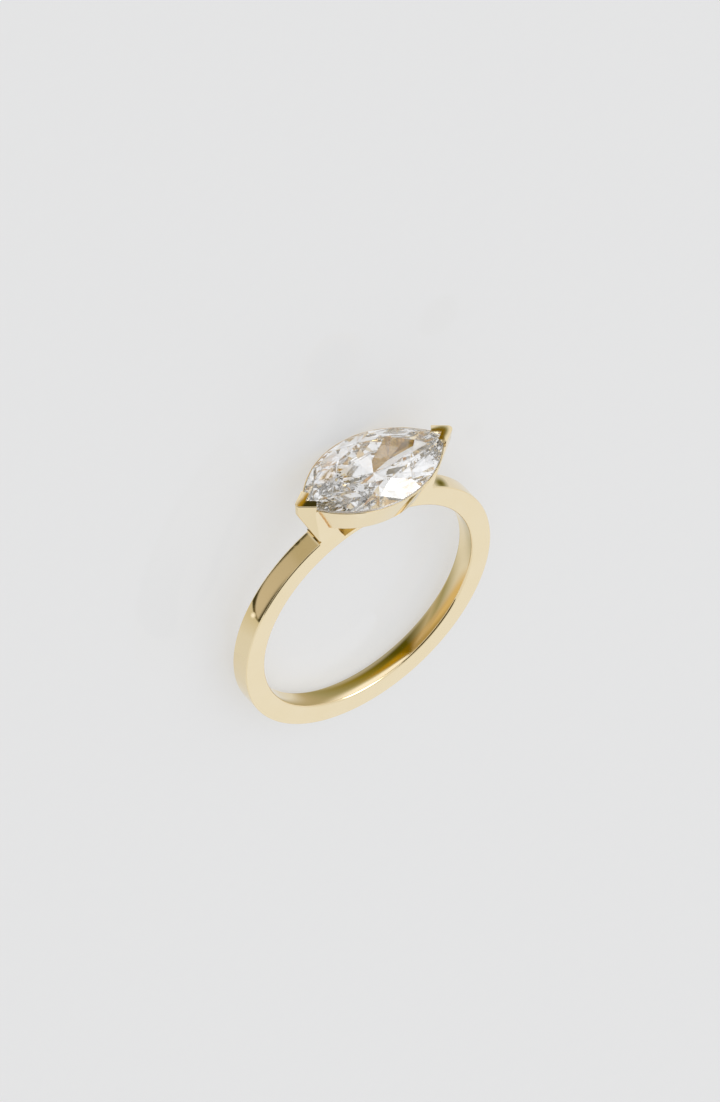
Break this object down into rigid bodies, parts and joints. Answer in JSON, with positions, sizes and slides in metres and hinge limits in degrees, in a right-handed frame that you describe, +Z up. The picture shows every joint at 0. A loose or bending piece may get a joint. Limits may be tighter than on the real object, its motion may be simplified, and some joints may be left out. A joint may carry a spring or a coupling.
{
  "type": "solitaire ring",
  "caption": "Slim yellow gold ring carrying a marquise cut stone across the finger in a tapered cup with a V claw at each point, lying on its side.",
  "frame": {"origin": "middle of the ring's footprint on the surface it lies on", "axes": "+Z up from the surface, the stone's crown faces -Y, the stone's long axis runs along X"},
  "size_m": [0.0194, 0.0232, 0.0063],
  "materials": {
    "gold": "mirror polished yellow gold",
    "stone": "polished facets, colourless"
  },
  "bodies": {
    "root": {"band_and_setting": "gold", "stone": "stone"}
  },
  "joints": []
}
